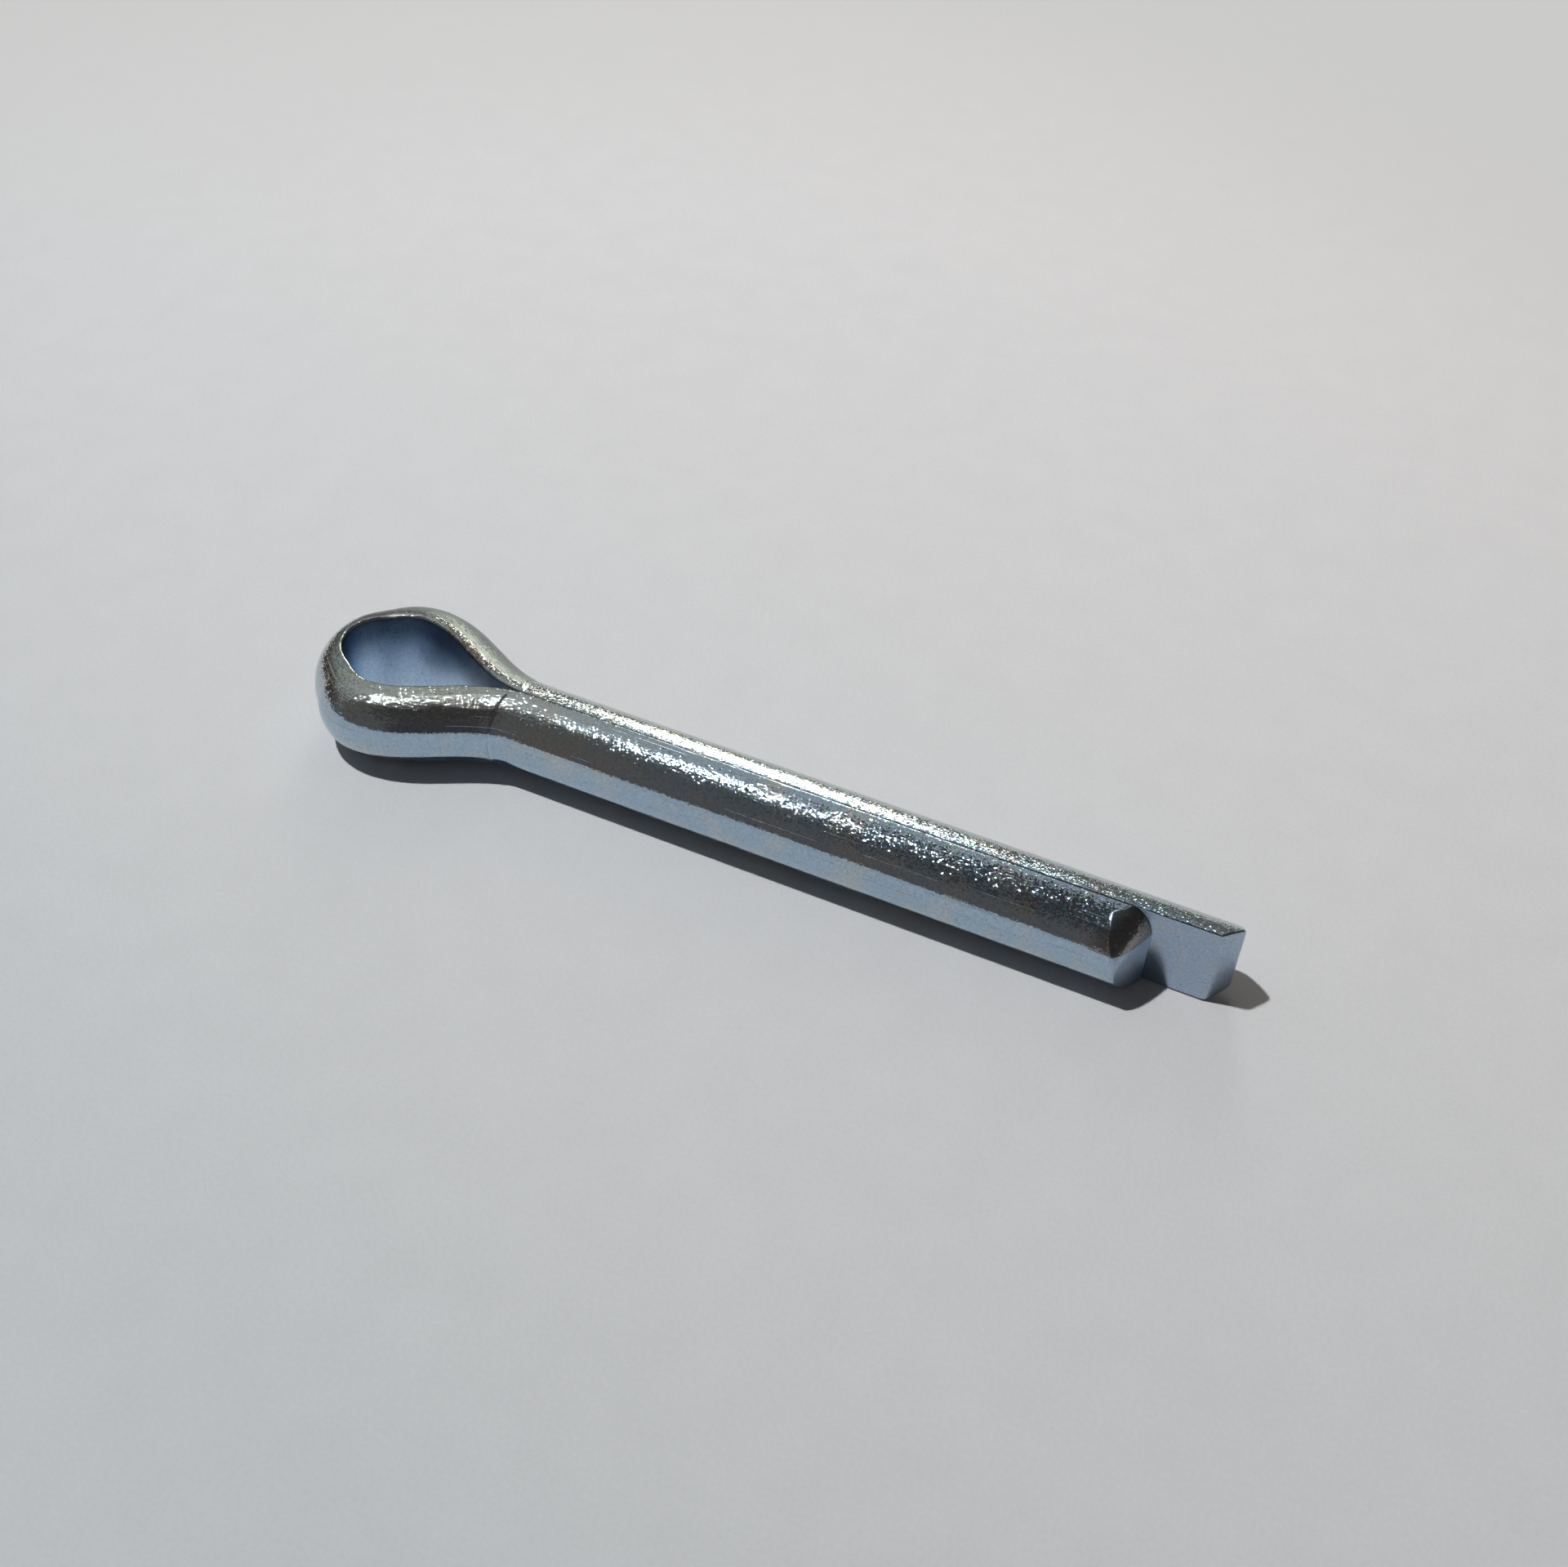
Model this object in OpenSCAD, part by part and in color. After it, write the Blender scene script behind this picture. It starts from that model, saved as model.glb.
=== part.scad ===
// Split cotter pin: one piece of half-round wire, folded back on itself round an eye.
// X runs along the shank's axis from the point where the two legs close to the tips, Y across the
// split, Z up. The pin lies on its side with the eye level.

/* [Shank] */
// Diameter of the closed shank, over both legs
shank_d = 4.6; // [4:0.1:5.2]
// Short leg, from the seat under the eye to the end of its flat face
leg_length = 34.6; // [15:0.1:60]
// How much further the long leg reaches
prong = 3.15; // [1:0.05:6]
// Gap left between the two flat faces
leg_gap = 0.08; // [0.04:0.01:0.3]
// Radius of the rounded edges of the flat faces
corner_r = 0.35; // [0.2:0.01:0.5]

/* [Sheared ends] */
// Skew of the long leg's end, away from square across the wire
long_shear = 17; // [0:1:35]
// Skew of the short leg's end
short_shear = 24; // [0:1:35]
// Radius of the upper edge that the shear pulled down on the long leg
long_rollover = 0.6; // [0.3:0.05:1.1]
// Radius of the upper edge that the shear pulled down on the short leg
short_rollover = 0.9; // [0.3:0.05:1.1]

/* [Eye] */
// Inside radius of the eye where it is widest
eye_r = 2.6; // [2.4:0.05:3]
// Inside radius of the eye's far end, where the hole narrows to a nose
nose_r = 2.2; // [1.6:0.05:2.3]
// Thickness of the wire at the far end of the eye, where the bend thinned it
eye_wall = 1.55; // [1.2:0.05:1.9]
// Angle of each arm of the eye to the shank
arm_angle = 27; // [24:1:30]
// Radius of each neck bend, at its flat face
neck_r = 6; // [5:0.1:8]
// How far ahead of the seat the legs begin to part
neck_lead = 1.45; // [0.5:0.05:1.9]
// Height of the step where the die that closed the shank stopped
die_step = 0.06; // [0.02:0.01:0.1]

/* [Hidden] */
$fn = 96;

shank_r = shank_d / 2;
eye_wire_r = shank_r + die_step;
flat_y = leg_gap / 2;
steel = "#9fa9b3";
far = 4 * shank_d;                 // reach of a cutting block, past any wire
corner_w = 0.7 * corner_r;         // how far in from the flat face the rounding reaches
swell = 0.01;                      // how much fuller each bend leaves the wire
lap = 0.2;                         // how far a straight length runs on inside the bend that follows

// Neck bend: its axis stands beside the legs, and its path starts on the shank's axis.
neck_axis_y = flat_y + neck_r;
die_angle = asin(neck_lead / neck_r);
neck_rise = neck_axis_y * (1 - cos(arm_angle));

// The eye's round end touches the flat faces of both arms, and the wire bends about its hole.
path_r = eye_r - flat_y;
hole_x = neck_lead - (path_r + neck_rise) / sin(arm_angle);
arm_length = (neck_lead - hole_x) * cos(arm_angle) - neck_axis_y * sin(arm_angle);

// The nose reaches to eye_wall short of the far end: nose_y is its wall's place in the wire's section.
nose_y = eye_wire_r - eye_wall;
nose_x = hole_x - path_r - nose_y + nose_r;

// Centre of the rounding along the upper edge of the flat face at y = f, on a wire of radius r.
function corner_at(r, f) = [
    f + corner_r,
    sqrt(pow(r, 2) - pow(f + corner_w, 2)) - sqrt(pow(corner_r, 2) - pow(corner_r - corner_w, 2))
];

// What the rounding takes off the upper edge of the flat face.
module corner_waste(r, f) {
    c = corner_at(r, f);
    difference() {
        translate([f - corner_r, c[1]]) square(2 * corner_r);
        translate(c) circle(corner_r);
    }
}

// Section of one leg: half a round bar of radius r, flat at y = f on the side towards the split.
module half_round(r, f) {
    difference() {
        circle(r);
        translate([f - far, -far / 2]) square(far);
        corner_waste(r, f);
        mirror([0, 1]) corner_waste(r, f);
    }
}

// Stands a section up across X and draws it along X, from x0 to x1.
module along_x(x0, x1) {
    translate([x0, 0, 0]) rotate([90, 0, 90]) linear_extrude(x1 - x0) children();
}

// Turns what follows with the neck bend, as far as the arm.
module round_neck() {
    translate([neck_lead, neck_axis_y, 0]) rotate(-arm_angle)
        translate([-neck_lead, -neck_axis_y, 0]) children();
}

// The neck bend of the wire of radius r, from a0 to a1 degrees away from the leg.
module neck_bend(r, a0, a1) {
    translate([neck_lead, neck_axis_y, 0])
        rotate_extrude(angle = a1 - a0, start = -90 - a1)
            translate([neck_axis_y, 0]) mirror([1, 0]) half_round(r + swell, flat_y - swell);
}

// What a shear skewed by a takes away at an end whose flat face stops at x, its upper edge pulled down.
module shear_waste(x, a, roll) {
    translate([x, 0, 0]) rotate([90, 0, -a])
        linear_extrude(far, center = true) {
            translate([0, -far / 2]) square(far);
            translate([-roll, shank_r - roll]) difference() {
                square([2 * roll, far / 2]);
                circle(roll);
            }
        }
}

// The leg on the +Y side, left long enough to be sheared at end_x.
module leg(end_x) {
    along_x(neck_lead - lap, end_x + shank_d) half_round(shank_r, flat_y);
}

// The neck and the arm of the eye on the +Y side.
module arm() {
    neck_bend(shank_r, 0, die_angle + 1);
    neck_bend(eye_wire_r, die_angle, arm_angle);
    round_neck() along_x(neck_lead - arm_length - lap, neck_lead + lap)
        half_round(eye_wire_r, flat_y);
}

// The nose's section from its axis outwards, with an eased edge above and below.
module nose_section() {
    translate([0, -far / 2]) square([nose_r, far]);
    translate([nose_r - nose_y, 0]) {
        corner_waste(eye_wire_r, nose_y);
        mirror([0, 1]) corner_waste(eye_wire_r, nose_y);
    }
}

// Round end of the eye.
module round_end() {
    difference() {
        translate([hole_x, 0, 0])
            rotate_extrude(angle = 180 + 2 * arm_angle, start = 90 - arm_angle)
                translate([path_r, 0]) half_round(eye_wire_r + swell, flat_y - swell);
        translate([nose_x, 0, 0]) rotate_extrude() nose_section();
    }
}

// The whole wire, built with the seat at X = 0 and then set with the closed shank's start there.
module folded_wire() {
    color(steel) translate([-neck_lead, 0, 0]) {
        round_end();
        arm();
        mirror([0, 1, 0]) arm();
        difference() {
            leg(leg_length + prong);
            shear_waste(leg_length + prong, long_shear, long_rollover);
        }
        difference() {
            mirror([0, 1, 0]) leg(leg_length);
            shear_waste(leg_length, short_shear, short_rollover);
        }
    }
}

folded_wire();
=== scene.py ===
"""Split cotter pin of half-round wire, zinc plated, lying on pale paper."""
import math
from types import SimpleNamespace

import bmesh
import bpy
import numpy as np
from mathutils import Matrix, Vector


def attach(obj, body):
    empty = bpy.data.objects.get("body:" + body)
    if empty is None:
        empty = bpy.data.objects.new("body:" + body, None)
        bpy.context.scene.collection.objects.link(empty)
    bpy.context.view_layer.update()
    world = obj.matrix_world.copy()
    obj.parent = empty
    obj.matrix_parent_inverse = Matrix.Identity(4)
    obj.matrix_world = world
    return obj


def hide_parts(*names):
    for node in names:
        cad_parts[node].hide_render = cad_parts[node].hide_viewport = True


MM = 0.001

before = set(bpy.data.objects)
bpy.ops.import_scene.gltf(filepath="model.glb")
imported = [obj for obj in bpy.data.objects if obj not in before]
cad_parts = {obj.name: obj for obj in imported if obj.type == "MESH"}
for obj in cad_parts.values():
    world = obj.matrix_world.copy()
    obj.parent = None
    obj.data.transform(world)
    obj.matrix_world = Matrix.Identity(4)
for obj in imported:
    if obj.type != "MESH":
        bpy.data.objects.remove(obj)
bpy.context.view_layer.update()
scene = bpy.context.scene
scene.view_settings.view_transform = "Standard"

# ---------------------------------------------------------------- sizes, in millimetres
# X runs along the shank to the tips, Y across the split towards the long leg, Z up. Angles are in
# radians where nothing else is said.
R = 2.3                      # radius of the closed shank
SEAT = -1.45                 # the seat's place along X
FLAT = 0.012                 # half the gap between the two flat faces
SPLIT_CORNER = 0.05          # radius of the rounded edges of the flat face, along the split
EYE_CORNER = 0.15            # the same round the eye,
EYE_FROM, EYE_OVER = 0.6, -3.0      # reached from this X on, over this length
TIP_CORNER = 0.03            # added to it beyond the short end,
TIP_FROM, TIP_OVER = 32.2, 1.6      # in the same way
EYE_C = -7.89                # centre of the eye's outline along X
PART_X = -0.05               # where the legs begin to part
# Radius of the flat face's outline round EYE_C, by angle from +X in degrees.
EYE_ANGLE = (24, 45, 70, 95, 120, 150, 180)
EYE_RAD = (3.78, 3.09, 2.757, 2.552, 2.318, 2.495, 2.652)
# The wire's thickness, as a share of R, by share of the way round the eye.
THICK_AT = (0.0, 0.06, 0.18, 0.36, 0.5)
THICK = (1.0, 0.995, 0.98, 0.975, 0.57)
THICK_SAMPLES, THICK_BLUR = 300, 20     # its changes are smoothed over so many samples to each side
LEAN = 0.62                  # how far the far arm's inner wall leans into the hole at its foot,
LEAN_FROM, LEAN_TO = (0, 0.1), (0.66, -0.2)     # by share of the way round: where from, and over how much
CROWN = 0.045                # how much fuller the near arm is between its side and its top, as a share,
CROWN_RISE, CROWN_FALL = 2.47, 0.67     # the angle up to the fullest place, and on from it to the top,
CROWN_Y, CROWN_X = (0.3, -1.2), (-0.6, -2.0)    # and where it comes in, each from there over that length

# The step that the forming die left across each leg.
STEP = 0.045                 # its height
STEP_X = {1: -0.9, -1: -1.45}    # where it stands on the long (+Y) and on the short leg
STEP_LENGTH = 0.16           # length of its slope
STEP_CURL = 0.42             # how far its line bends along the leg over STEP_TURN
STEP_MID, STEP_TURN = 0.07, 1.05    # angle up from the side where the line turns, and 60 degrees
RIDGE, RIDGE_AT, RIDGE_WIDE = 0.005, -0.1, 0.09      # the small ridge along it: height, place, width
GROOVE, GROOVE_AT, GROOVE_WIDE = 0.005, 0.06, 0.07   # and the groove,
GROOVE_MARK = 0.06           # whose painted shade is this wide

# The sheared ends, by side: 1 is the long leg, -1 the short one.
LONG_X = 36.99               # the long leg's furthest point
LONG_Y = 1.15                # where its end has a ridge,
LONG_SLOPE = 0.85            # how steeply it falls away on both sides of it,
LONG_ROUND = 0.15            # and how far the ridge is rounded
SHORT_X = 33.1               # where the short end's face meets the split
SHORT_SLANT = 0.43           # how far it leans along X for each millimetre of Y
CREASE = 0.85                # height where its rolled top meets its sheared face
ROLL_LONG, ROLL_SET = 0.95, 0.3     # reach of the rolled top: its rounding, and its slope
EDGE = {1: 0.17, -1: 0.09}   # rounding between each leg and its end face
ROLL_EDGE = 0.7              # the same added at the short end's rolled top,
ROLL_EDGE_Z, ROLL_EDGE_Y = (-0.3, 2.2), (-0.15, -0.6)   # coming in from there over that length
ROLL_MASK = (31.2, 32.3)     # where the rolled top's colour, a dark bronze partly of painted shade, begins along X, and is full
TIPS_X = 30                  # no end face comes nearer than this to the eye
CAP_MIDDLE = 0.95            # distance of an end face's middle from the split
# How far inside the end face's outline each of the rings that close it lies.
CAP_RINGS = (0, 0.008, 0.03, 0.065, 0.11, 0.17, 0.25, 0.36, 0.5, 0.7, 0.95, 1.2, 1.45, 1.7, 1.95, 2.2)

# How finely the wire is divided.
EYE_STEPS = 290              # stations round the eye
NECK_SHARE, NECK_STEPS = 0.12, 65   # by each neck, over this share of the way, so many of them
LEG_STATIONS = ((0.0, 0.4, 0.05), (0.4, 31.0, 0.2), (31.0, 38.6, 0.1))    # from, to and step, along a leg
STRETCH_STEPS = 12           # rings from a leg's last whole station to its end face
N_ROUND, N_FLAT, N_CORNER = 84, 12, 8      # points round the side, up the flat and on each rounding


# ---------------------------------------------------------------- centre line
def smooth(x):
    """From 0 to 1 along with x, eased at both ends."""
    x = np.clip(x, 0, 1)
    return x * x * (3 - 2 * x)


def eased(x, start, length):
    """From 0 at start to 1 a length further on, or further back where the length is negative."""
    return smooth((x - start) / length)


def run_along(points):
    """Length run along a line of points, at each of them."""
    return np.concatenate([[0], np.cumsum(np.linalg.norm(np.diff(points, axis=0), axis=1))])


def spline(knots, values, query, ends):
    """Cubic spline through values at knots; ends gives the slopes at both ends."""
    n = len(knots)
    h = np.diff(knots)
    a = np.zeros((n, n))
    b = np.zeros((n, values.shape[1]))
    slope = np.diff(values, axis=0) / h[:, None]
    for i in range(1, n - 1):
        a[i, i - 1], a[i, i], a[i, i + 1] = h[i], 2 * (h[i - 1] + h[i]), h[i - 1]
        b[i] = 3 * (h[i] * slope[i - 1] + h[i - 1] * slope[i])
    a[0, 0] = a[-1, -1] = 1
    b[0], b[-1] = ends
    m = np.linalg.solve(a, b)
    k = np.clip(np.searchsorted(knots, query) - 1, 0, n - 2)
    t = ((query - knots[k]) / h[k])[:, None]
    hk = h[k][:, None]
    return ((2 * t**3 - 3 * t**2 + 1) * values[k] + (t**3 - 2 * t**2 + t) * hk * m[k]
            + (-2 * t**3 + 3 * t**2) * values[k + 1] + (t**3 - t**2) * hk * m[k + 1])


def eye_line(count):
    """The flat face's line round the eye, from where the legs part, over +Y, back to there."""
    angles = [math.radians(d) for d in EYE_ANGLE]
    angles += [2 * math.pi - t for t in reversed(angles[:-1])]
    radii = EYE_RAD + EYE_RAD[-2::-1]
    pts = [(EYE_C + r * math.cos(t), r * math.sin(t)) for t, r in zip(angles, radii)]
    pts = np.array([(PART_X, 0.0), *pts, (PART_X, 0.0)])
    run = run_along(pts)
    return spline(run, pts, np.linspace(0, run[-1], count), ((-1, 0), (1, 0)))


def eye_thickness(u):
    """The wire's thickness round the eye, with its changes smoothed out."""
    even = np.linspace(0, 1, THICK_SAMPLES)
    window = np.hanning(2 * THICK_BLUR + 1)
    window /= window.sum()
    thick = np.interp(np.minimum(even, 1 - even), THICK_AT, THICK)
    thick = np.convolve(np.pad(thick, THICK_BLUR, mode="edge"), window, mode="valid")
    return np.interp(u, even, thick)


def centre_line():
    """Stations along the wire's flat face, from the long tip round the eye to the short tip.

    Gives each station's place, the direction outwards from the flat face, the wire's thickness,
    how far the wall leans, and the length run so far.
    """
    eye = eye_line(8 * EYE_STEPS)
    run = run_along(eye)
    u = np.concatenate([np.linspace(0, NECK_SHARE, NECK_STEPS)[:-1],
                        np.linspace(NECK_SHARE, 1 - NECK_SHARE, EYE_STEPS - 2 * (NECK_STEPS - 1)),
                        np.linspace(1 - NECK_SHARE, 1, NECK_STEPS)[1:]])
    eye = np.stack([np.interp(u * run[-1], run, eye[:, k]) for k in (0, 1)], 1)
    leg = np.concatenate([np.arange(*stretch) for stretch in LEG_STATIONS])
    zero = np.zeros_like(leg)
    legs = np.stack([leg, zero], 1)
    line = np.concatenate([legs[::-1], eye, legs])
    thick = np.concatenate([zero + 1, eye_thickness(u), zero + 1])
    lean = LEAN * eased(u, *LEAN_FROM) * eased(u, *LEAN_TO)
    lean = np.concatenate([zero, lean, zero])
    run = run_along(line)
    ahead = np.gradient(line, run, axis=0)
    ahead /= np.linalg.norm(ahead, axis=1)[:, None]
    outwards = np.stack([ahead[:, 1], -ahead[:, 0]], 1)
    return line, outwards, thick, lean, run


# ---------------------------------------------------------------- section
def sections(thick, corner):
    """Outline of the half-round section at each station: (stations, points, 2), out and up."""
    a, b = R * thick, R
    cx = FLAT + corner
    q = np.sqrt(1 - (cx / (a - corner))**2)
    cy = (b - corner) * q
    join = np.arctan2(cy / (b - corner)**2, cx / (a - corner)**2)
    pts = []
    for k in range(N_CORNER):
        t = math.pi + (join - math.pi) * k / (N_CORNER - 1)
        pts.append((cx + corner * np.cos(t), cy + corner * np.sin(t)))
    low = np.arctan2(pts[-1][1] / b, pts[-1][0] / a)
    for k in range(1, N_ROUND):
        t = low - 2 * low * k / N_ROUND
        pts.append((a * np.cos(t), b * np.sin(t)))
    pts += [(x, -y) for x, y in reversed(pts[:N_CORNER])]
    (x0, y0), y1 = pts[-1], pts[0][1]
    pts += [(x0, y0 + (y1 - y0) * k / N_FLAT) for k in range(1, N_FLAT)]
    return np.moveaxis(np.array(pts), 2, 0)


def shaped(sec, line, side, lean):
    """The sections with the far arm's lean, the near arm's crown and the die's step.

    Also gives the step's painted mark on the surface: painted shade above 0 in the groove and a painted
    highlight below 0 on the ridge.
    """
    # the far arm's inner wall leans into the hole towards its foot
    foot = (R - sec[:, :, 1]) / (2 * R)
    hug = np.clip(1 - sec[:, :, 0] / (0.8 * R), 0, 1)
    sec[:, :, 0] -= lean[:, None] * foot * hug
    # the near arm is a little fuller between its side and its top
    turn = np.arctan2(sec[:, :, 1], np.maximum(sec[:, :, 0], 0.01))
    crown = eased(turn, -math.pi / 2, CROWN_RISE) * eased(turn, math.pi / 2, -CROWN_FALL)
    crown -= smooth(1.571 / CROWN_RISE)       # none at the side, a quarter turn up from the foot
    near_arm = eased(line[:, 1], *CROWN_Y) * eased(line[:, 0], *CROWN_X)
    sec *= 1 + (CROWN * near_arm[:, None] * crown * np.clip(sec[:, :, 0] / 0.4, 0, 1))[:, :, None]
    # the eye stands proud of the legs by the die's step, with a small ridge and groove along it
    step_x = np.where(side > 0, STEP_X[1], STEP_X[-1])[:, None]
    step_x = step_x + STEP_CURL * ((turn - STEP_MID) / STEP_TURN)**2
    past = step_x - line[:, 0][:, None]
    proud = (STEP * smooth(past / STEP_LENGTH + 0.5)
             + RIDGE * np.exp(-((past - RIDGE_AT) / RIDGE_WIDE)**2)
             - GROOVE * np.exp(-((past - GROOVE_AT) / GROOVE_WIDE)**2))
    full = np.clip(sec[:, :, 0] / 0.5, 0, 1)      # the step fades out towards the flat face
    mark = (np.exp(-((past - GROOVE_AT) / GROOVE_MARK)**2)
            - 0.6 * np.exp(-((past - RIDGE_AT) / RIDGE_WIDE)**2))
    mark *= full * eased(turn, 0.5, -0.5)     # it fades out up the side
    out = sec[:, :, 0] * (1 + proud / R * full)
    up = sec[:, :, 1] * (1 + np.minimum(proud, 0.8 * STEP) / R * full)
    return out, up, mark


# ---------------------------------------------------------------- ends
def end_surface(side, y, z):
    """Where the sheared end face of a leg stands along X."""
    if side > 0:
        return LONG_X - LONG_SLOPE * (np.hypot(y - LONG_Y, LONG_ROUND) - LONG_ROUND)
    f = np.clip((z - CREASE) / (R - CREASE), 0, 1)     # how far up the rolled top
    return SHORT_X + SHORT_SLANT * y - ROLL_SET * f - ROLL_LONG * (1 - np.sqrt(1 - f**2))


def end_edge(side, y, z):
    """Rounding between a leg and its end face, for points on the outline."""
    return EDGE[side] + (side < 0) * ROLL_EDGE * eased(z, *ROLL_EDGE_Z) * eased(y, *ROLL_EDGE_Y)


def leg_end(side, y, z):
    """Where a leg's own surface stops along X, and the rounding to its end face begins."""
    return end_surface(side, y, z) - end_edge(side, y, z)


def end_cap(side, ring):
    """Rings of points that close an end, from its outline over a rounded edge to its middle."""
    y, z = ring[:, 1], ring[:, 2]
    middle = side * CAP_MIDDLE
    away = np.hypot(y - middle, z)
    r = end_edge(side, y, z)
    rows = []
    for inset in CAP_RINGS:
        d = inset * (away / away.max())
        f = np.clip(1 - d / away, 0.02, 1)
        yy, zz = middle + (y - middle) * f, z * f
        pull = r - np.sqrt(np.clip(r**2 - np.clip(r - d, 0, r)**2, 0, None))
        rows.append(np.stack([end_surface(side, yy, zz) - pull, yy, zz], 1))
    return rows


def closed_end(side, base, base_uv, on_flat):
    """Rings from a leg's last whole station to the middle of its end face, with their UVs and marks."""
    none = np.zeros(len(base))
    edge = base.copy()
    edge[:, 0] = leg_end(side, edge[:, 1], edge[:, 2])
    stretch = [base + (edge - base) * k / STRETCH_STEPS for k in range(1, STRETCH_STEPS + 1)]
    cap = end_cap(side, edge)[1:]
    uv = [base_uv + np.stack([(r[:, 0] - base[:, 0]) * -side, none], 1) for r in stretch]
    uv += [np.stack([r[:, 1] + 100 * side, r[:, 2]], 1) for r in cap]
    marks = [np.stack([on_flat, none, none], 1)] * STRETCH_STEPS
    marks += [np.stack([none + 1, none + (k > 2), none], 1) for k in range(len(cap))]
    return stretch + cap, uv, marks


# ---------------------------------------------------------------- wire
def wire_rings():
    """Rings of points along the whole wire from end to end, with their UVs and marks."""
    line, outwards, thick, lean, run = centre_line()
    n = len(line)
    side = np.where(np.arange(n) < n // 2, 1, -1)
    in_eye = eased(line[:, 0], EYE_FROM, EYE_OVER)
    at_tip = eased(line[:, 0], TIP_FROM, TIP_OVER) * (side > 0)
    sec = sections(thick, SPLIT_CORNER + (EYE_CORNER - SPLIT_CORNER) * in_eye + TIP_CORNER * at_tip)
    out, up, step_shade_glint = shaped(sec, line, side, lean)
    pts = np.stack([line[:, 0][:, None] + outwards[:, 0][:, None] * out,
                    line[:, 1][:, None] + outwards[:, 1][:, None] * out, up], 2)
    m = sec.shape[1]
    flat = sec[:, :, 0] <= FLAT + 1e-6
    girth = run_along(sec[0])
    # each leg stops where its shear stands
    keep = [i for i in range(n) if abs(line[i, 0]) < TIPS_X
            or np.all(pts[i, :, 0] < leg_end(side[i], pts[i, :, 1], pts[i, :, 2]))]
    rows = [pts[i] for i in keep]
    uv = [np.stack([np.full(m, run[i]), girth], 1) for i in keep]
    marks = [np.stack([flat[i], np.zeros(m), step_shade_glint[i]], 1).astype(float) for i in keep]
    long_end = closed_end(1, rows[0], uv[0], marks[0][:, 0])
    short_end = closed_end(-1, rows[-1], uv[-1], marks[-1][:, 0])
    return [first[::-1] + whole + last
            for first, whole, last in zip(long_end, (rows, uv, marks), short_end)]


def build_wire():
    """The wire as one swept mesh, with UVs in millimetres and a mask for each kind of surface."""
    rows, uv, marks = wire_rings()
    n, m = len(rows), len(rows[0])
    verts = np.concatenate(rows) * MM
    uv, marks = np.concatenate(uv), np.concatenate(marks)
    i, j = np.meshgrid(np.arange(n - 1), np.arange(m), indexing="ij")
    k = (j + 1) % m
    quads = np.stack([i * m + j, i * m + k, (i + 1) * m + k, (i + 1) * m + j], 2).reshape(-1, 4)
    faces = quads.tolist() + [list(reversed(range(m))), list(range((n - 1) * m, n * m))]
    mesh = bpy.data.meshes.new("pin_wire")
    mesh.from_pydata(verts.tolist(), [], faces)
    layer = mesh.uv_layers.new(name="wire")
    loop = np.zeros(len(mesh.loops), dtype=np.int32)
    mesh.loops.foreach_get("vertex_index", loop)
    layer.data.foreach_set("uv", uv[loop].astype(np.float32).ravel())
    for column, name in enumerate(("flat", "sheared", "step_shade_glint")):
        mask = mesh.attributes.new(name, "FLOAT", "POINT")
        mask.data.foreach_set("value", marks[:, column].astype(np.float32))
    bm = bmesh.new()
    bm.from_mesh(mesh)
    bmesh.ops.recalc_face_normals(bm, faces=bm.faces)
    bm.to_mesh(mesh)
    bm.free()
    for p in mesh.polygons:
        p.use_smooth = True
    obj = bpy.data.objects.new("pin_wire", mesh)
    scene.collection.objects.link(obj)
    return obj


# ---------------------------------------------------------------- shader nodes
class Graph:
    """Short ways to add nodes to a shader tree. A value may be a socket, a number or a tuple."""

    def __init__(self, tree):
        self.tree = tree

    def node(self, kind, **props):
        n = self.tree.nodes.new("ShaderNode" + kind)
        for key, value in props.items():
            setattr(n, key, value)
        return n

    def put(self, n, key, value):
        if isinstance(value, bpy.types.NodeSocket):
            self.tree.links.new(value, n.inputs[key])
        else:
            n.inputs[key].default_value = value

    def math(self, op, a, b, clamp=False):
        n = self.node("Math", operation=op, use_clamp=clamp)
        self.put(n, 0, a)
        self.put(n, 1, b)
        return n.outputs[0]

    def mul(self, first, *rest):
        for value in rest:
            first = self.math("MULTIPLY", first, value)
        return first

    def add(self, a, b):
        return self.math("ADD", a, b)

    def less(self, a, b):
        return self.math("SUBTRACT", a, b)

    def most(self, a, b):
        return self.math("MAXIMUM", a, b)

    def vector(self, op, a, b=None):
        n = self.node("VectorMath", operation=op)
        self.put(n, 0, a)
        if b is not None:
            self.put(n, "Scale" if op == "SCALE" else 1, b)
        return n.outputs["Value" if op in ("DOT_PRODUCT", "LENGTH") else "Vector"]

    def mix(self, share, a, b, blend="MIX"):
        n = self.node("Mix", data_type="RGBA", blend_type=blend)
        for key, value in ((0, share), (6, a), (7, b)):
            self.put(n, key, value)
        return n.outputs[2]

    def noise(self, scale, place, detail=2.0, rough=0.5, out="Fac"):
        n = self.node("TexNoise")
        for key, value in (("Vector", place), ("Scale", scale), ("Detail", detail), ("Roughness", rough)):
            self.put(n, key, value)
        return n.outputs[out]

    def ramp(self, value, low, high):
        """From 0 at low to 1 at high, eased at both."""
        return self.spread(value, low, high, 0.0, 1.0, "SMOOTHSTEP")

    def spread(self, value, low, high, at_low, at_high, kind="LINEAR"):
        n = self.node("MapRange", interpolation_type=kind)
        for key, v in enumerate((value, low, high, at_low, at_high)):
            self.put(n, key, v)
        return n.outputs[0]

    def scaled(self, place, x, y, z=1.0):
        n = self.node("Mapping")
        self.put(n, "Vector", place)
        self.put(n, "Scale", (x, y, z))
        return n.outputs[0]

    def axes(self, vec):
        n = self.node("SeparateXYZ")
        self.put(n, 0, vec)
        return n.outputs


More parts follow.
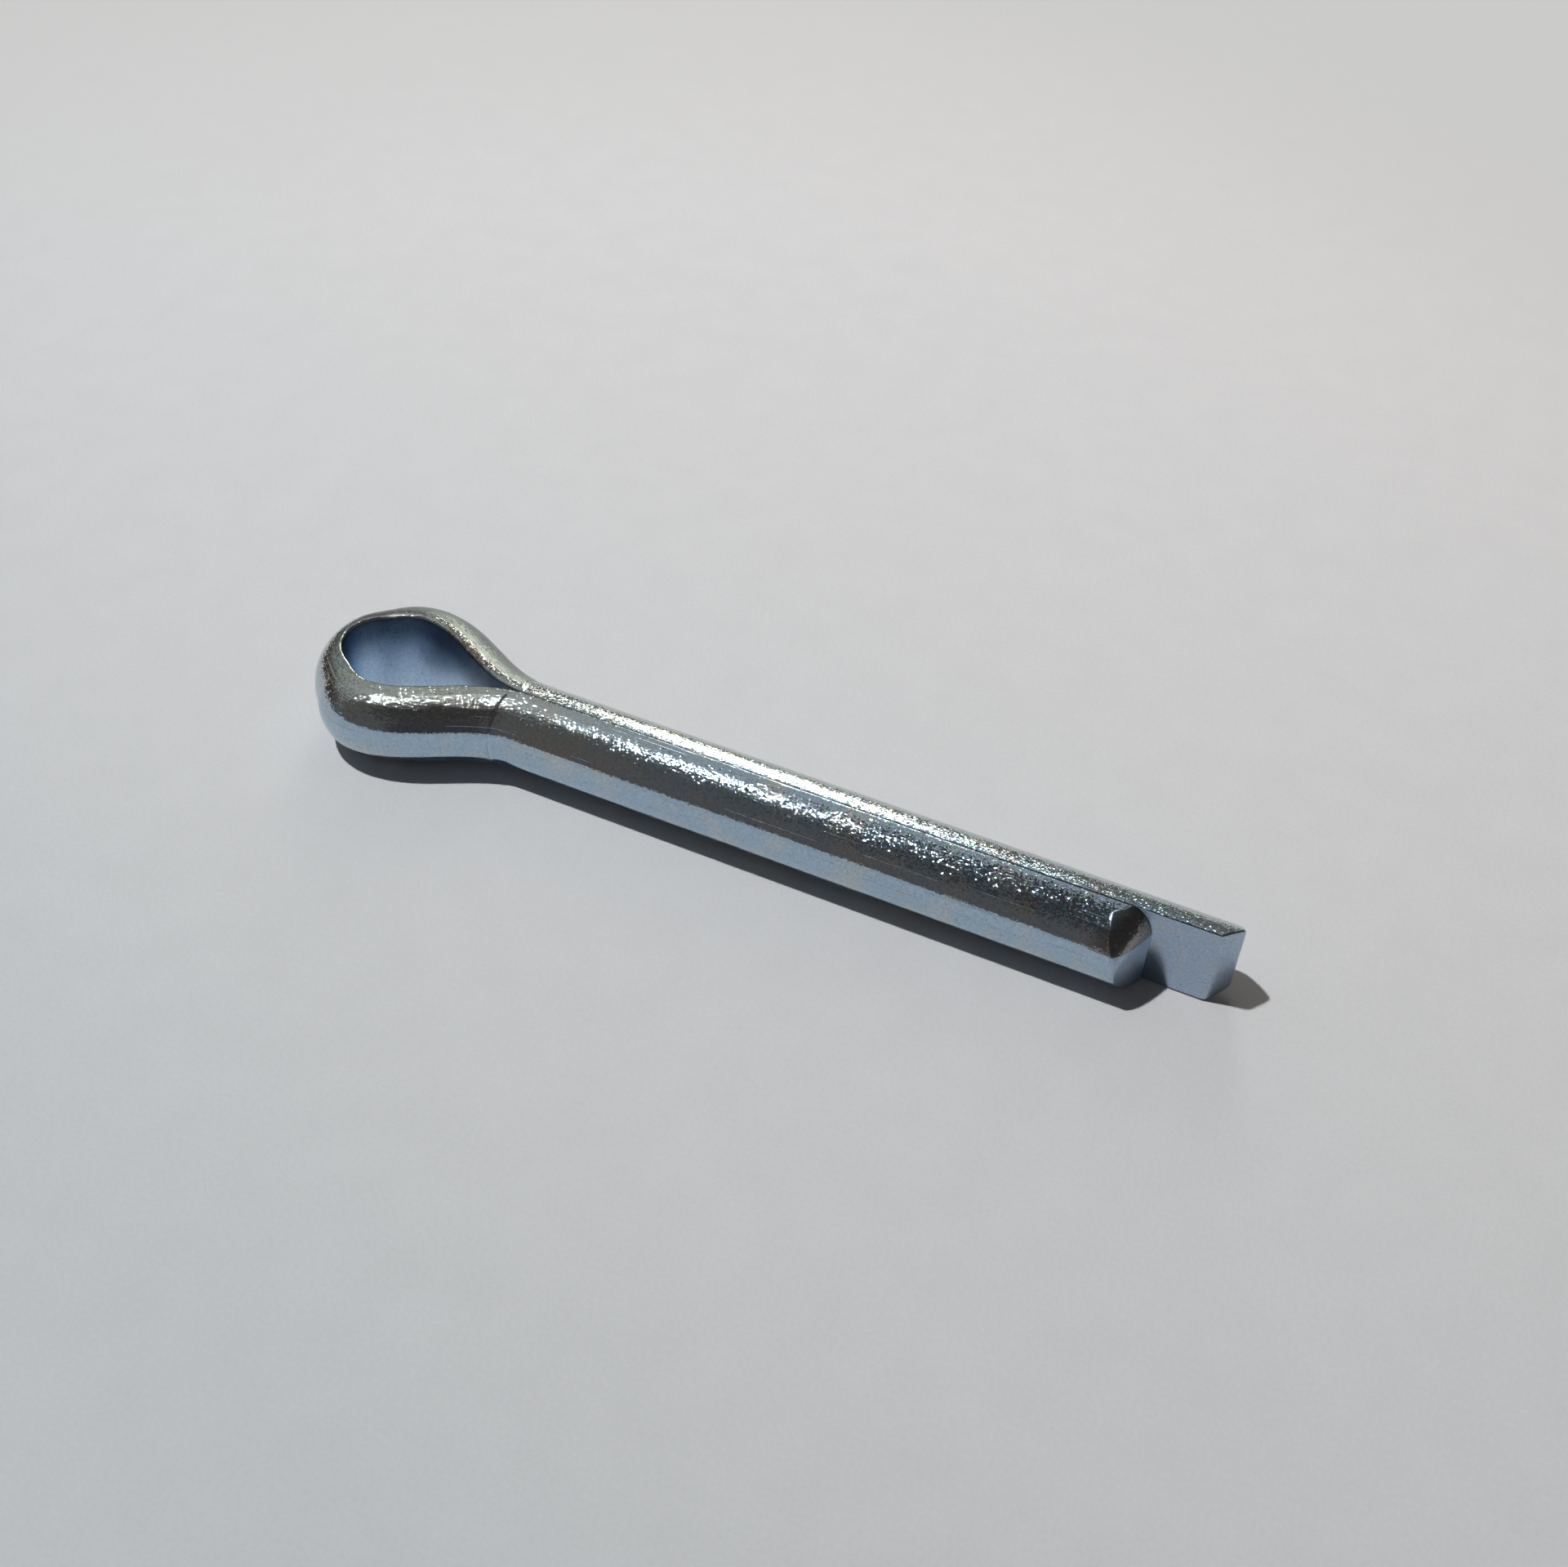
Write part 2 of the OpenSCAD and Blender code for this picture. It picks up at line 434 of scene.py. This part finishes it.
# ---------------------------------------------------------------- zinc
def zinc_places(g):
    """What the zinc's look depends on: places, directions, and masks of where things are."""
    mul, ramp = g.mul, g.ramp
    along = g.node("UVMap", uv_map="wire").outputs[0]      # millimetres along and around the wire
    spot = g.scaled(g.node("TexCoord").outputs["Object"], 1000, 1000, 1000)     # millimetres
    x, y, z = g.axes(spot)
    normal = g.node("NewGeometry").outputs["Normal"]
    _, face_y, face_z = g.axes(normal)
    flat, sheared, step_shade_glint = [g.node("Attribute", attribute_name=name).outputs["Fac"]
                             for name in ("flat", "sheared", "step_shade_glint")]

    # the short end's rolled top, the round side, the hole's wall and the arms
    roll = mul(ramp(g.less(x, mul(y, SHORT_SLANT)), *ROLL_MASK), ramp(z, CREASE - 0.04, CREASE + 0.02),
               ramp(y, 0.0, -0.02))
    unrolled = g.less(1.0, roll)
    flat, sheared = mul(flat, unrolled), mul(sheared, unrolled)
    round_ = g.less(1.0, flat)
    hole = mul(flat, ramp(x, 0.0, -2.0))
    far_arm = mul(ramp(x, 0.8, -1.2), ramp(y, 0.0, 0.6))
    outer = ramp(face_y, 0.08, 0.26)
    # masks for painted shade on the far arm: the darker grey of its upper outer faces, and the dark red
    # band along its inner edge
    satin_and_shade = mul(far_arm, ramp(face_z, 0.3, 0.7), outer)
    inner = mul(ramp(y, 0.3, 1.0), g.less(1.0, outer), round_, ramp(x, -7.0, -4.5),
                ramp(g.noise(3.0, spot, 3), 0.35, 0.55))
    return SimpleNamespace(along=along, spot=spot, x=x, y=y, z=z, normal=normal, face_y=face_y,
                           face_z=face_z, flat=flat, sheared=sheared, step_shade_glint=step_shade_glint, roll=roll,
                           unrolled=unrolled, round=round_, hole=hole, satin_and_shade=satin_and_shade, inner=inner)


def zinc_color(g, at):
    """Bluish passivate, thinner and yellower in patches; a painted yellow highlight colour on top of the
    eye and down the far side; painted shade and reflection on the hole's wall, the far arm, the rolled top
    and the die's mark.
    """
    mul, ramp, mix, noise, spot = g.mul, g.ramp, g.mix, g.noise, at.spot
    tint = mix(ramp(noise(0.45, spot, 3), 0.45, 0.7), (0.4, 0.515, 0.625, 1), (0.48, 0.54, 0.57, 1))
    stain = mul(ramp(noise(0.9, spot, 4, 0.65), 0.55, 0.75), 0.3)
    tint = mix(stain, tint, (0.42, 0.41, 0.36, 1))
    # painted highlight colour: yellower where the surface faces up on the eye, and up and away on the far
    # side, where the highlights fall
    painted_highlight_warmth = g.most(mul(ramp(at.x, 12.0, -4.0), ramp(at.face_z, 0.35, 0.85)),
                  mul(ramp(at.face_y, 0.05, 0.4), ramp(at.face_z, 0.3, 0.7)))
    tint = mix(mul(painted_highlight_warmth, 0.55), tint, (0.55, 0.56, 0.47, 1))
    # bluer on the flats, with warmer patches; on the rolled top a bronze made dark as painted shade,
    # standing for the dark it reflects
    patch = mul(ramp(noise(1.6, spot, 3), 0.5, 0.62), mul(at.flat, 0.3))
    tint = mix(patch, mix(at.flat, tint, (0.37, 0.465, 0.59, 1)), (0.46, 0.47, 0.42, 1))
    tint = mix(mul(at.roll, 0.75), tint, (0.19, 0.16, 0.12, 1))
    # the hole's wall, painted reflection and shade: pale blue at its foot, where it mirrors lit paper, to
    # dark blue at its top, where it mirrors shade
    height = g.add(at.z, mul(noise(0.5, spot, 1), 1.2))
    tint = mix(at.hole, tint, mix(ramp(height, 2.3, 0.2), (0.13, 0.17, 0.23, 1), (0.48, 0.63, 0.8, 1)))
    # the far arm, with painted shade: a darker grey on its satin outer top that dims the lamp's highlight
    # there, and a dark red band along its inner edge that stands for the dark it reflects
    tint = mix(mul(at.satin_and_shade, 0.85), tint, (0.23, 0.27, 0.26, 1))
    tint = mix(mul(at.inner, 0.75), tint, (0.2, 0.13, 0.14, 1))
    # a faint play of colour from grain to grain, then mottle and dark specks
    grain = g.node("VectorMath", operation="MULTIPLY_ADD")
    for key, value in enumerate((noise(8.0, spot, 2, out="Color"), (4.5, 4.5, 4.5), (-1.38, -1.2, -1.15))):
        g.put(grain, key, value)
    fleck = mul(ramp(at.face_z, 0.6, 0.85), ramp(at.x, -14.0, 30.0), 0.24, at.round)
    tint = mix(fleck, tint, grain.outputs[0], "MULTIPLY")
    mottle = g.spread(noise(7.0, spot, 3, 0.6), 0.3, 0.7, 0.84, 1.14)
    speck = ramp(noise(5.0, spot, 2), 0.36, 0.3)
    tint = mix(1.0, tint, g.less(mottle, mul(speck, 0.2)), "MULTIPLY")
    # the die's mark: painted shade in the groove and a painted highlight on the ridge
    tint = mix(g.math("MULTIPLY", at.step_shade_glint, 0.3, True), tint, (0.12, 0.14, 0.17, 1))
    return mix(g.math("MULTIPLY", at.step_shade_glint, -0.6, True), tint, (0.6, 0.66, 0.66, 1))


def zinc_roughness(g, at):
    """Bright drawn metal on the round side, duller on the flats, the ends and the far arm."""
    rough = g.spread(g.noise(1.0, g.scaled(at.along, 0.25, 6.0), 3, 0.6), 0.3, 0.7, 0.05, 0.08)
    for where, more in ((at.flat, 0.14), (at.sheared, 0.14), (at.hole, 0.16), (at.satin_and_shade, 0.3),
                        (at.roll, 0.14)):
        rough = g.add(rough, g.mul(where, more))
    return rough


def zinc_tilt(g, at):
    """The surface's direction, tilted by zinc crystals and by streaks drawn along the wire."""
    mul, add, ramp = g.mul, g.add, g.ramp

    def tilt(color, size):
        """A random lean of the surface, from a texture's colour, less along X than across."""
        centred = g.vector("SUBTRACT", color, (0.5, 0.5, 0.5))
        return g.vector("SCALE", g.vector("MULTIPLY", centred, (0.6, 1, 1)), size)

    # burnished along the split and down the far side, coarser towards the tips and on the eye
    on_eye = ramp(at.x, 0.0, -3.0)
    by_split = mul(ramp(at.y, -0.45, -0.2), ramp(at.y, 0.0, -0.02))
    burnished = mul(g.most(by_split, ramp(at.y, 0.7, 1.1)), ramp(at.x, 0.0, 3.0))
    coarse = add(ramp(at.x, 8.0, 24.0), on_eye)
    upper = mul(at.round, g.most(ramp(at.face_z, 0.4, 0.7), mul(at.roll, 0.6)))
    share = add(g.noise(1.0, g.scaled(at.along, 5.0, 9.0), 2, 0.6), mul(coarse, 0.07))
    grains = mul(ramp(g.less(share, mul(burnished, 0.12)), 0.52, 0.6), upper)
    crystal = g.node("TexVoronoi")
    g.put(crystal, "Vector", at.spot)
    g.put(crystal, "Scale", 14.0)
    crystals = tilt(crystal.outputs["Color"], add(0.03, mul(upper, add(0.1, mul(grains, 0.25)))))
    streaks = mul(upper, add(0.28, mul(coarse, add(0.16, mul(on_eye, 0.22)))),
                  g.less(1.0, mul(burnished, 0.5)))
    drawn = g.noise(1.0, g.scaled(at.along, 3.5, 17.0), 2, 0.6, "Color")
    streaks = tilt(drawn, add(0.07, streaks))
    return g.vector("NORMALIZE", g.vector("ADD", at.normal, g.vector("ADD", crystals, streaks)))


def zinc_relief(g, at):
    """Height in millimetres: drawing lines, waviness, and scratches along the wire."""
    def waves(across, depth):
        return g.mul(g.less(g.noise(1.0, g.scaled(at.along, 0.3, across), 2), 0.5), depth)

    scratch = g.mul(g.ramp(g.noise(1.0, g.scaled(at.along, 0.12, 9.0), 2), 0.66, 0.7),
                    g.mul(at.round, at.unrolled), 0.005)
    return g.less(g.add(waves(12.0, 0.002), waves(1.2, 0.006)), scratch)


def zinc():
    """Bright zinc with a thin bluish passivate over a drawn, crystalline surface."""
    mat = bpy.data.materials.new("zinc_passivate")
    mat.use_nodes = True
    g = Graph(mat.node_tree)
    at = zinc_places(g)
    bump = g.node("Bump")
    for key, value in (("Strength", 1.0), ("Distance", MM), ("Height", zinc_relief(g, at)),
                       ("Normal", zinc_tilt(g, at))):
        g.put(bump, key, value)
    bsdf = mat.node_tree.nodes["Principled BSDF"]
    for key, value in (("Metallic", 1), ("Base Color", zinc_color(g, at)),
                       ("Roughness", zinc_roughness(g, at)), ("Normal", bump.outputs[0])):
        g.put(bsdf, key, value)
    return mat


wire = build_wire()
wire.data.materials.append(zinc())
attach(wire, "root")
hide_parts("folded_wire")

# ---------------------------------------------------------------- floor
FLOOR_Z = -2.354             # the underside of the part in the frame
FLOOR_SIZE = 3.0             # metres
PALE = (0.6, 0.6, 0.595, 1)  # the background
# painted shade: the paper's colour darkens and cools towards the near side, standing in for the light
# falling off
PAPER_NEAR_SHADE, PAPER_FAR_LIT = (0.43, 0.454, 0.48, 1), (0.673, 0.674, 0.692, 1)
PAPER_AWAY = (0.4, 0.92, 0)  # the way from the near colour to the far one,
PAPER_SPAN = (-30, 75)       # and the two places between which it changes
PAPER_FADE = (60, 115)       # how far from the pin it fades into the background


def paper():
    """Off-white paper: a faint mottle and grain, with painted shade: a little cooler and darker on the
    near side, where the lamp's light falls off.
    """
    mat = bpy.data.materials.new("paper")
    mat.use_nodes = True
    g = Graph(mat.node_tree)
    bsdf = mat.node_tree.nodes["Principled BSDF"]
    bsdf.inputs["Roughness"].default_value = 0.9
    spot = g.vector("SCALE", g.node("TexCoord").outputs["Object"], 1000)      # millimetres
    away = g.spread(g.vector("DOT_PRODUCT", spot, PAPER_AWAY), *PAPER_SPAN, 0, 1)
    color = g.mix(away, PAPER_NEAR_SHADE, PAPER_FAR_LIT)
    color = g.vector("SCALE", color, g.spread(g.noise(0.35, spot, 4), 0.3, 0.7, 0.985, 1.015))
    color = g.vector("SCALE", color, g.spread(g.noise(5.0, spot, 3), 0.3, 0.7, 0.975, 1.025))
    g.put(bsdf, "Base Color", color)
    bump = g.node("Bump")
    g.put(bump, "Distance", 0.02 * MM)
    g.put(bump, "Height", g.noise(2.5, spot, 5))
    g.put(bsdf, "Normal", bump.outputs[0])

    # far from the lamp the paper is seen as pale as the background
    path = g.node("LightPath").outputs
    seen = g.most(g.most(path["Is Camera Ray"], path["Is Glossy Ray"]), path["Is Transmission Ray"])
    far = g.mul(g.spread(g.vector("LENGTH", spot), *PAPER_FADE, 0, 1), seen)
    plain = g.node("Emission")
    g.put(plain, "Color", PALE)
    both = g.node("MixShader")
    for key, value in enumerate((far, bsdf.outputs[0], plain.outputs[0])):
        g.put(both, key, value)
    g.put(mat.node_tree.nodes["Material Output"], "Surface", both.outputs[0])
    return mat


bpy.ops.mesh.primitive_plane_add(size=FLOOR_SIZE, location=(0, 0, FLOOR_Z * MM))
floor = bpy.context.object
floor.name = "paper"
floor.data.materials.append(paper())

# ---------------------------------------------------------------- camera
IMAGE_W = 1920
IMAGE_MID = (960.0, 959.5)   # middle of the image, in pixels
FOCAL = 2269.73              # focal length, in pixels
DOWN, ROLL, YAW = 0.7856, 0.0325, 0.4174    # the camera looks down, is rolled and is turned, in radians
AIM_MM = (-0.25 * R + SEAT, 0, -R)          # this point of the part
AIM_PX = (608.8258, 913.5102)               # is seen at this pixel
AIM_DEPTH = 42.1715 * R                     # and lies this deep in the view
SENSOR = 36                  # millimetres
CLIP_START = 0.005           # metres


def camera():
    """The photograph's camera, turned by its three angles and placed so that AIM_MM shows at AIM_PX."""
    view = np.array([[1, 0, 0.0],
                     [0, -math.sin(DOWN), -math.cos(DOWN)],
                     [0, math.cos(DOWN), -math.sin(DOWN)]])      # rows: right, down and forward
    c, s = math.cos(ROLL), math.sin(ROLL)
    rolled = np.array([[c, -s, 0], [s, c, 0], [0, 0, 1]])
    c, s = math.cos(YAW), math.sin(YAW)
    turned = np.array([[c, s, 0], [-s, c, 0], [0, 0, 1]])
    view = rolled @ view @ turned
    off = [(p - mid) / FOCAL for p, mid in zip(AIM_PX, IMAGE_MID)]
    place = (-view.T @ (AIM_DEPTH * np.array([*off, 1.0])) + np.array(AIM_MM)) * MM
    cam = bpy.data.cameras.new("camera")
    cam.sensor_width = SENSOR
    cam.lens = FOCAL / IMAGE_W * SENSOR
    cam.clip_start = CLIP_START
    obj = bpy.data.objects.new("camera", cam)
    turn = Matrix([view[0], -view[1], -view[2]]).transposed().to_4x4()
    obj.matrix_world = Matrix.Translation(place) @ turn
    scene.collection.objects.link(obj)
    scene.camera = obj


camera()

# ---------------------------------------------------------------- light
LAMP_AT = (-73, -22, 250)    # a small lamp close above the paper, in millimetres
LAMP_COLOR = (1, 0.99, 0.975)
LAMP_RADIUS = 0.005          # metres
KEY_POWER = 2.6              # watts: its light as diffuse rays see it, on the paper
GLINT_POWER = 3.0            # and as glossy rays see it, on the metal
SOFT_TOWARDS, SOFT_AWAY = (-0.267, 0.85, 0.454), 0.5      # a soft lamp behind: direction, and metres
SOFT_SIZE, SOFT_POWER = (0.132, 0.33), 0.46               # metres and watts
SOFT_COLOR = (1, 0.92, 0.8)


def lamp(name, kind, power, color):
    """A lamp that the camera doesn't see, and the object that carries it."""
    light = bpy.data.lights.new(name, kind)
    light.energy, light.color = power, color
    obj = bpy.data.objects.new(name, light)
    obj.visible_camera = False
    scene.collection.objects.link(obj)
    return light, obj


def lights():
    """The small lamp, given as two at one place, and the soft one."""
    for name, power in (("key", KEY_POWER), ("glint", GLINT_POWER)):
        light, obj = lamp(name, "POINT", power, LAMP_COLOR)
        light.shadow_soft_size = LAMP_RADIUS
        obj.location = Vector(LAMP_AT) * MM
        obj.visible_diffuse, obj.visible_glossy = name == "key", name == "glint"
    light, obj = lamp("soft", "AREA", SOFT_POWER, SOFT_COLOR)
    light.shape = "ELLIPSE"
    light.size, light.size_y = SOFT_SIZE
    towards = Vector(SOFT_TOWARDS).normalized()
    obj.location = towards * SOFT_AWAY
    obj.rotation_euler = towards.to_track_quat("Z", "Y").to_euler()


def studio():
    """A room round the paper: grey high up on the far side, dark below that and on the near side."""
    world = bpy.data.worlds.new("studio")
    world.use_nodes = True
    g = Graph(world.node_tree)
    sky_at = g.node("TexCoord").outputs["Generated"]

    def facing(direction, low, high):
        return g.ramp(g.vector("DOT_PRODUCT", sky_at, direction), low, high)

    east, west, up = (1, 0, 0), (-1, 0, 0), (0, 0, 1)
    far = g.mix(facing(west, 0.4, 0.62), (0.5, 0.485, 0.46, 1), (0.4, 0.42, 0.4, 1))
    far = g.mix(facing(up, 0.42, 0.78), (0.17, 0.165, 0.16, 1), far)
    far = g.mix(facing(east, -0.15, 0.3), far, (0.17, 0.155, 0.14, 1))
    near_low = g.mix(facing(east, -0.05, 0.2), (0.14, 0.12, 0.11, 1), (0.065, 0.06, 0.06, 1))
    near_high = g.mix(facing(east, -0.3, -0.12), (0.13, 0.12, 0.11, 1), (0.055, 0.05, 0.05, 1))
    near = g.mix(facing(up, 0.45, 0.75), near_low, near_high)
    sky = g.mix(facing((-1.6, 1, 0), 0.5, 0.7), near, far)
    by_eye = g.mix(facing(up, 0.25, 0.6), (0.08, 0.055, 0.05, 1), sky)
    sky = g.mix(facing(west, 0.78, 0.93), sky, by_eye)
    # the camera sees pale paper beyond the floor
    sky = g.mix(g.node("LightPath").outputs["Is Camera Ray"], sky, PALE)
    g.put(world.node_tree.nodes["Background"], "Color", sky)
    scene.world = world


lights()
studio()
